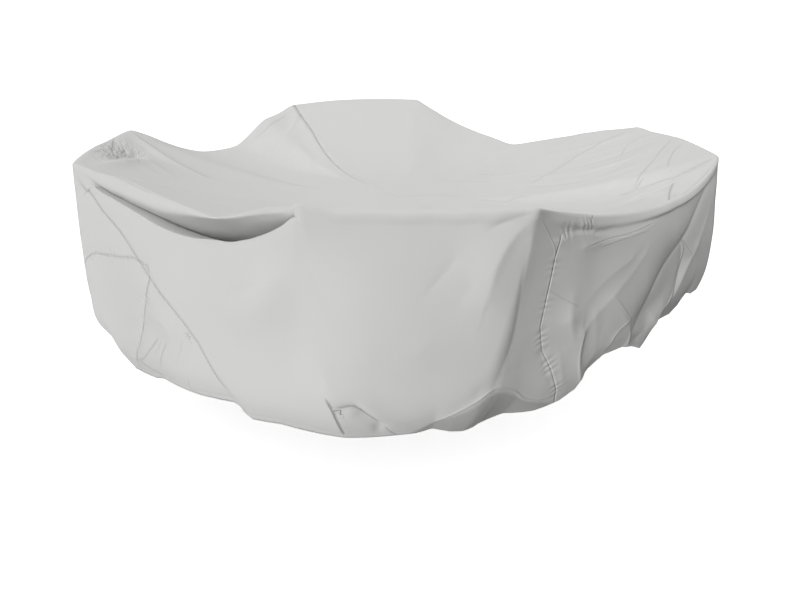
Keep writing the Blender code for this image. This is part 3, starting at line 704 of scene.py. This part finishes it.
def draped_cloth(along, reach):
    """The whole cover: the rounded cloth, plus folds and swell along its normal."""
    base = rounded_cloth(along, reach) + (0, 0, CAD_THICKNESS)
    normal = face_normals(base)
    on_skirt = ease((reach + 0.05) / 0.03)
    on_top = ease((0.05 - reach) / 0.06)
    rise = fold_height(along, reach, SKIRT_FOLDS, RIM_LENGTH) * on_skirt
    rise += swell_height(along, reach, SKIRT_SWELLS) * on_skirt
    rise += fold_height(base[..., 0], base[..., 1], TOP_FOLDS) * on_top
    place = from_front(along)
    hem_along, hem_reach, hem_slope = zip(*TURNED_HEM)
    turned = reach - curve(place, hem_along, hem_reach) * MM
    turned = 0.5 * (turned + np.sqrt(turned ** 2 + HEM_BEND ** 2))
    rise -= np.interp(place, hem_along, hem_slope, 0, 0) * turned
    rise += waves(base, SWAY_LENGTH, seed=7) * SWAY_HEIGHT * ease(reach / 0.10)
    return base + normal * rise[..., None]


along, reach, (front_line, near_line, far_line, back_line) = mesh_lines()
cloth_points = draped_cloth(along, reach)
level_line = len(TOP_SHARES) + int(np.argmin(abs(SKIRT_REACHES - SIDE_SEAM_REACH)))
column, row = np.indices((along.shape[0] - 1, along.shape[1] - 1))
side_cells = (column >= near_line) & (column < far_line) & (row >= level_line)
left_cells = (column >= front_line) & (column < back_line) & ~side_cells
right_cells = (column < front_line) | (column >= back_line)
FAR = 9.0               # stands for: nowhere near


def cloth_piece(name, used_cells, points, has_middle):
    """A mesh of the grid's used cells. The middle of the top closes the ring with a fan."""
    used = np.zeros(points.shape[:2], bool)
    for i, j in ((0, 0), (0, 1), (1, 0), (1, 1)):
        used[i:used.shape[0] - 1 + i, j:used.shape[1] - 1 + j] |= used_cells
    index = np.full(used.shape, -1)
    index[used] = np.arange(used.sum())
    vertices = points[used]
    flat = np.stack([along[used], reach[used]], axis=1)
    i, j = np.nonzero(used_cells)
    quads = np.stack([index[i, j], index[i, j + 1], index[i + 1, j + 1], index[i + 1, j]], axis=1)
    faces = quads.tolist()
    if has_middle:
        middle = len(vertices)
        vertices = np.vstack([vertices, points[:, 0].mean(axis=0)])
        flat = np.vstack([flat, flat.mean(axis=0)])
        ring = np.nonzero(used_cells[:, 0])[0]
        faces += [[int(index[k, 0]), int(index[k + 1, 0]), middle] for k in ring]
    mesh = bpy.data.meshes.new(name)
    mesh.from_pydata(vertices.tolist(), [], faces)
    mesh.shade_smooth()
    for mark, values in MARKS.items():
        chosen = values[used]
        if has_middle:
            chosen = np.append(chosen, 0.0 if mark in ("crinkled", "in_shade", "crease_depth") else FAR)
        mesh.attributes.new(mark, "FLOAT", "POINT").data.foreach_set("value", chosen.astype(np.float32))
    corners = np.zeros(len(mesh.loops), np.int32)
    mesh.loops.foreach_get("vertex_index", corners)
    mesh.uv_layers.new(name="cloth").data.foreach_set("uv", flat[corners].ravel())
    piece = new_object(name, mesh)
    solid = piece.modifiers.new("thickness", "SOLIDIFY")
    solid.thickness = CLOTH_THICKNESS
    solid.offset = -1
    mesh.materials.append(grey_cloth)
    return piece


def nearest_line(u, v, lines, wrap=0.0):
    """Signed distance to the nearest crease, its depth there and its half width.

    The depth fades out over the last eighth of each end, and between 14 and 22 mm away.
    """
    away, depth, width = np.full(u.shape, FAR), np.zeros(u.shape), np.full(u.shape, 3 * MM)
    for line in lines:
        here, sideways, beyond, share = beside(smooth_path(line.path), u, v, 0.06, wrap)
        distance = np.sqrt(sideways ** 2 + beyond ** 2)
        closer = distance < abs(away[here])
        fade = ease(np.minimum(share, 1 - share) * 8 + 0.2) * ease((22 * MM - distance) / (8 * MM))
        for whole, part in ((away, np.copysign(distance, sideways)), (depth, line.depth * MM * fade),
                            (width, np.full(distance.shape, line.width * MM))):
            whole[here] = np.where(closer, part, whole[here])
    return away, depth, width


def seam_distance(points, lines):
    """Distance of each crossing of the mesh to the nearest seam, and the run along it."""
    away, run = np.full(points.shape[:2], FAR), np.zeros(points.shape[:2])
    for line in lines:
        runs = np.append(0, np.cumsum(np.linalg.norm(np.diff(line, axis=0), axis=1)))
        low, high = line.min(axis=0) - 0.04, line.max(axis=0) + 0.04
        here = ((points > low) & (points < high)).all(axis=-1)
        for start, end, before, after in zip(line, line[1:], runs, runs[1:]):
            share = np.clip((points[here] - start) @ (end - start) / (after - before) ** 2, 0, 1)
            distance = np.linalg.norm(points[here] - start - share[:, None] * (end - start), axis=1)
            closer = distance < away[here]
            away[here] = np.where(closer, distance, away[here])
            run[here] = np.where(closer, before + share * (after - before), run[here])
    return away, run


on_skirt = nearest_line(along, reach, SKIRT_CREASES, RIM_LENGTH)
on_top = nearest_line(cloth_points[..., 0], cloth_points[..., 1], TOP_CREASES)
crease_away, crease_depth, crease_width = np.where(reach > 0.0, on_skirt, on_top)
seam_away, seam_run = seam_distance(cloth_points, (
    cloth_points[front_line, ::2], cloth_points[back_line, ::2], cloth_points[near_line, level_line:],
    cloth_points[far_line, level_line:], cloth_points[near_line:far_line + 1, level_line]))
# Where the cloth was bunched: an oval at the left corner, its middle and size in plan.
CRINKLES_AT = (-0.935, 0.050)
CRINKLES_SIZE = (0.055, 0.120)
from_bunch = (cloth_points[..., :2] - CRINKLES_AT) / CRINKLES_SIZE
crinkled = np.exp(-(from_bunch ** 2).sum(axis=-1))
# Two places get painted shade, the colour darkened for the shade that falls there: the inside
# of the pocket, most of all at its right end, and the hem where it is turned under.
place = from_front(along)
HEM_SHADE, POCKET_SHADE, POCKET_END_SHADE = 0.38, 0.13, 0.11
in_pocket = ease((reach - 0.045) / 0.03) * ease((0.186 - reach) / 0.01) * (abs(place - 1.0) < 0.40)
pocket_shade = POCKET_SHADE + POCKET_END_SHADE * ease((0.95 - place) / 0.20)
hem_along, hem_reach, _ = zip(*TURNED_HEM)
hem_from = np.interp(place, hem_along, hem_reach, FAR / MM, FAR / MM) * MM
turned_under = ease((reach - hem_from) / (12 * MM))
MARKS = {
    "crease_away": crease_away,
    "crease_depth": crease_depth,
    "crease_width": crease_width,
    "seam_away": seam_away,
    "seam_run": seam_run,
    "hem_away": SKIRT_REACH - reach,
    "crinkled": crinkled * (reach < -0.004),
    # painted shade in the pocket and under the turned hem
    "in_shade": in_pocket * pocket_shade + turned_under * HEM_SHADE,
}


def math(operation, *values):
    """The output of one math node fed by sockets or numbers, at least one a socket."""
    tree = next(value for value in values if not isinstance(value, (int, float))).id_data
    node = tree.nodes.new("ShaderNodeMath")
    node.operation = operation
    for socket, value in zip(node.inputs, values):
        if isinstance(value, (int, float)):
            socket.default_value = value
        else:
            tree.links.new(value, socket)
    return node.outputs[0]


def plus(*terms):
    """The sum of sockets and numbers."""
    return reduce(lambda total, term: math("ADD", total, term), terms)


def times(*factors):
    """The product of sockets and numbers."""
    return reduce(lambda product, factor: math("MULTIPLY", product, factor), factors)


def wave(place, rate):
    """sin(rate * place)."""
    return math("SINE", times(place, rate))


def bell(away, width):
    """exp(-(away / width)^2)."""
    share = math("DIVIDE", away, width)
    return math("EXPONENT", times(share, share, -1.0))


def noise(place, scale, detail, stretch):
    """Noise from -1 to 1 at a place, longer along the axes with a small stretch value."""
    tree = place.id_data
    mapping = tree.nodes.new("ShaderNodeMapping")
    mapping.inputs["Scale"].default_value = stretch
    tree.links.new(place, mapping.inputs["Vector"])
    node = tree.nodes.new("ShaderNodeTexNoise")
    node.inputs["Scale"].default_value = scale
    node.inputs["Detail"].default_value = detail
    tree.links.new(mapping.outputs[0], node.inputs["Vector"])
    return math("MULTIPLY_ADD", node.outputs[0], 2.0, -1.0)


def pressed_crease(away, depth, width):
    """A pressed crease: a groove or ridge of bell section, with painted shade down in a groove."""
    shade_per_metre = 120.0
    groove = times(bell(away, width), depth)
    return times(groove, -1.0), times(math("MAXIMUM", groove, 0.0), shade_per_metre)


def lapped_seam(away, run):
    """A lapped seam: its edge, with a thin line of painted shade along it, two rows of thread, and the
    puckers the thread draws.
    """
    lap_width, lap_slope, edge_width = 11 * MM, -0.015, 1.6 * MM
    rows_at, thread_width, thread_height = (3 * MM, 9 * MM), 0.7 * MM, 0.1 * MM
    stitch_rate, stitch_gap = 1800.0, -0.5
    pucker_rate, pucker_height, pucker_reach = 230.0, 0.9 * MM, 20 * MM
    wander_rate, wander, edge_shade = 61.0, 2.2, 0.015
    edge = bell(away, edge_width)
    lap = math("SMOOTH_MIN", away, lap_width, 2 * MM)
    rows = plus(*(bell(math("SUBTRACT", away, row), thread_width) for row in rows_at))
    dashes = math("GREATER_THAN", wave(run, stitch_rate), stitch_gap)
    turn = plus(times(run, pucker_rate), times(wave(run, wander_rate), wander))
    puckers = times(math("SINE", turn), bell(away, pucker_reach), pucker_height)
    height = plus(times(rows, dashes, thread_height), times(rows, -thread_height),
                  times(edge, -thread_height), puckers, times(lap, lap_slope))
    # painted shade along the seam's edge
    return height, times(edge, edge_shade)


def plain_weave(place):
    """Plain weave, warp over weft, of a fine yarn, with slubs that show as faint streaks."""
    yarns_per_metre, yarn_height, slub_scale, slub_shade = 700, 0.015 * MM, 60.0, 0.012
    parts = place.id_data.nodes.new("ShaderNodeSeparateXYZ")
    place.id_data.links.new(place, parts.inputs[0])
    across, down = (wave(parts.outputs[k], 2 * np.pi * yarns_per_metre) for k in (0, 1))
    slubs = plus(*(noise(place, slub_scale, 2.0, stretch) for stretch in ((6, 0.3, 1), (0.3, 6, 1))))
    return times(across, down, yarn_height), times(slubs, slub_shade)


def wrinkles(place, crinkled):
    """Slight wrinkles all over, and hard crinkles where the cloth was bunched, with painted shade over
    the crinkles.
    """
    slack_height, crinkle_height, crinkle_shade = 1.2 * MM, -22 * MM, 0.45
    slack = noise(place, 7.0, 3.0, (1, 1, 0.5))
    folded = math("ABSOLUTE", noise(place, 22.0, 3.0, (1.6, 0.7, 0.6)))
    height = plus(times(slack, slack_height), times(folded, crinkled, crinkle_height))
    # painted shade over the crinkles
    return height, times(math("SUBTRACT", 0.45, folded), crinkled, crinkle_shade)


def turned_hem(away):
    """The row of stitches that holds the hem."""
    row_at, row_width, row_height, row_shade = 22 * MM, 1.5 * MM, -0.5 * MM, 0.06
    stitches = bell(math("SUBTRACT", away, row_at), row_width)
    return times(stitches, row_height), times(stitches, row_shade)


def effect_group(effect, inputs):
    """A shader node group that gives the Height and Shade of an effect."""
    tree = bpy.data.node_groups.new(effect.__name__, "ShaderNodeTree")
    for name in inputs:
        kind = "NodeSocketVector" if name == "Place" else "NodeSocketFloat"
        tree.interface.new_socket(name, in_out="INPUT", socket_type=kind)
    for name in ("Height", "Shade"):
        tree.interface.new_socket(name, in_out="OUTPUT", socket_type="NodeSocketFloat")
    sockets = tree.nodes.new("NodeGroupInput").outputs
    results = tree.nodes.new("NodeGroupOutput").inputs
    for result, value in zip(results, effect(*(sockets[name] for name in inputs))):
        tree.links.new(value, result)
    return tree


CLOTH_COLOUR = (0.75, 0.75, 0.74, 1)
# DEEP_SHADE is the colour that painted shade darkens the cloth towards.
DEEP_SHADE = (0.20, 0.20, 0.19, 1)
LEAST_ROUGH, SHADE_ROUGH = 0.78, 0.3


def cloth_material():
    """The pale grey coated cloth: matt, with its weave, creases, seams, hem and wrinkles, and painted
    shade.
    """
    material = bpy.data.materials.new("grey_cloth")
    material.use_nodes = True
    tree = material.node_tree
    shader = tree.nodes["Principled BSDF"]

    def mark(name):
        node = tree.nodes.new("ShaderNodeAttribute")
        node.attribute_name = name
        return node.outputs["Fac"]

    def use(effect, **sockets):
        node = tree.nodes.new("ShaderNodeGroup")
        node.node_tree = effect_group(effect, sockets)
        for name, socket in sockets.items():
            tree.links.new(socket, node.inputs[name])
        return node.outputs["Height"], node.outputs["Shade"]

    places = tree.nodes.new("ShaderNodeTexCoord").outputs
    heights, shades = zip(
        use(pressed_crease, Away=mark("crease_away"), Depth=mark("crease_depth"),
            Width=mark("crease_width")),
        use(lapped_seam, Away=mark("seam_away"), Run=mark("seam_run")),
        use(plain_weave, Place=places["UV"]),
        use(wrinkles, Place=places["Object"], Crinkled=mark("crinkled")),
        use(turned_hem, Away=mark("hem_away")))
    # The shade outputs and the in_shade mark darken the colour towards DEEP_SHADE. This is painted
    # shade in the creases, at the seam edges, over the crinkles, in the pocket and under the turned
    # hem. The weave's slubs are streaks in the yarn's own tone, and the hem's stitch row is a little
    # darker.
    shade = plus(*shades, mark("in_shade"))
    colour = tree.nodes.new("ShaderNodeMix")
    colour.data_type = "RGBA"
    colour.clamp_factor = True
    colour.inputs["A"].default_value = CLOTH_COLOUR
    colour.inputs["B"].default_value = DEEP_SHADE
    tree.links.new(shade, colour.inputs["Factor"])
    tree.links.new(colour.outputs["Result"], shader.inputs["Base Color"])
    bump = tree.nodes.new("ShaderNodeBump")
    bump.inputs["Strength"].default_value = 1.0
    bump.inputs["Distance"].default_value = 1.0
    tree.links.new(plus(*heights), bump.inputs["Height"])
    tree.links.new(bump.outputs[0], shader.inputs["Normal"])
    tree.links.new(math("MULTIPLY_ADD", shade, SHADE_ROUGH, LEAST_ROUGH), shader.inputs["Roughness"])
    return material


grey_cloth = cloth_material()
left = cloth_piece("left_cloth", left_cells, cloth_points, True)
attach(left, "root")
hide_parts("cover_left")

# --------------------
# cover_right, the second cut, of the same cloth: the rest of the top, and the right and back
# skirt. It lies under the first cut's edge along the long seam, which two rows of thread
# hold.

right = cloth_piece("right_cloth", right_cells, cloth_points, True)
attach(right, "root")
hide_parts("cover_right")

# --------------------
# side_lower_left, a piece of the same cloth let in low on the left side. It is sewn to the
# first cut along a level seam and two upright ones, and has its own turned hem.

side = cloth_piece("side_cloth", side_cells, cloth_points, False)
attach(side, "root")
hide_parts("side_lower_left")

# --------------------
# The stage: a pale floor, plain soft light from four sides, a pale room behind, and the
# camera.

FLOOR_Z = -0.74
FLOOR_HALF = 600
floor_mesh = bpy.data.meshes.new("floor")
floor_mesh.from_pydata([(x * FLOOR_HALF, y * FLOOR_HALF, FLOOR_Z)
                        for x, y in ((-1, -1), (1, -1), (1, 1), (-1, 1))], [], [(0, 1, 2, 3)])
floor = new_object("floor", floor_mesh)
floor_material = bpy.data.materials.new("pale_floor")
floor_material.use_nodes = True
floor_shader = floor_material.node_tree.nodes["Principled BSDF"]
floor_shader.inputs["Base Color"].default_value = (0.85, 0.85, 0.85, 1)
floor_shader.inputs["Roughness"].default_value = 0.95
floor_shader.inputs["Emission Color"].default_value = (1, 1, 1, 1)
floor_shader.inputs["Emission Strength"].default_value = 0.70
floor_mesh.materials.append(floor_material)
# The floor's own bounce is a light from below, which the floor mesh lets through.
floor.visible_shadow = floor.visible_diffuse = floor.visible_glossy = False

# The room lights the cloth only faintly, and looks white to the camera.
world = bpy.data.worlds.new("pale_room")
bpy.context.scene.world = world
world.use_nodes = True
room = world.node_tree
dim_light = room.nodes["Background"]
pale_wall = room.nodes.new("ShaderNodeBackground")
for background, strength in ((dim_light, 0.06), (pale_wall, 1.0)):
    background.inputs["Color"].default_value = (1, 1, 1, 1)
    background.inputs["Strength"].default_value = strength
rays = room.nodes.new("ShaderNodeLightPath")
seen = room.nodes.new("ShaderNodeMixShader")
room.links.new(rays.outputs["Is Camera Ray"], seen.inputs[0])
room.links.new(dim_light.outputs[0], seen.inputs[1])
room.links.new(pale_wall.outputs[0], seen.inputs[2])
room.links.new(seen.outputs[0], room.nodes["World Output"].inputs["Surface"])

# Large soft lights: where each stands, in degrees round from the front towards the left and
# degrees up, and its strength.
LIGHT_SPREAD = np.radians(60)
SoftLight = namedtuple("SoftLight", "name round up strength")
SOFT_LIGHTS = (
    SoftLight("front_light", 20, 30, 1.79),
    SoftLight("overhead_light", 0, 90, 0.99),
    SoftLight("back_light", 180, 30, 0.95),
    SoftLight("floor_bounce", 65, -45, 1.40),
)
for light in SOFT_LIGHTS:
    lamp = new_object(light.name, bpy.data.lights.new(light.name, "SUN"))
    lamp.data.energy = light.strength
    lamp.data.angle = LIGHT_SPREAD
    turned, up = np.radians(light.round), np.radians(light.up)
    from_lamp = Vector((-np.sin(turned) * np.cos(up), -np.cos(turned) * np.cos(up), np.sin(up)))
    lamp.rotation_euler = from_lamp.to_track_quat("Z", "Y").to_euler()

camera = new_object("camera", bpy.data.cameras.new("camera"))
camera.data.sensor_width = 36
camera.data.lens = 34.33
camera.location = (-0.278, -2.640, 0.681)
camera.rotation_euler = (np.radians(90 - 22.18), 0, np.radians(-6.71))
bpy.context.scene.camera = camera
bpy.context.scene.view_settings.view_transform = "Standard"
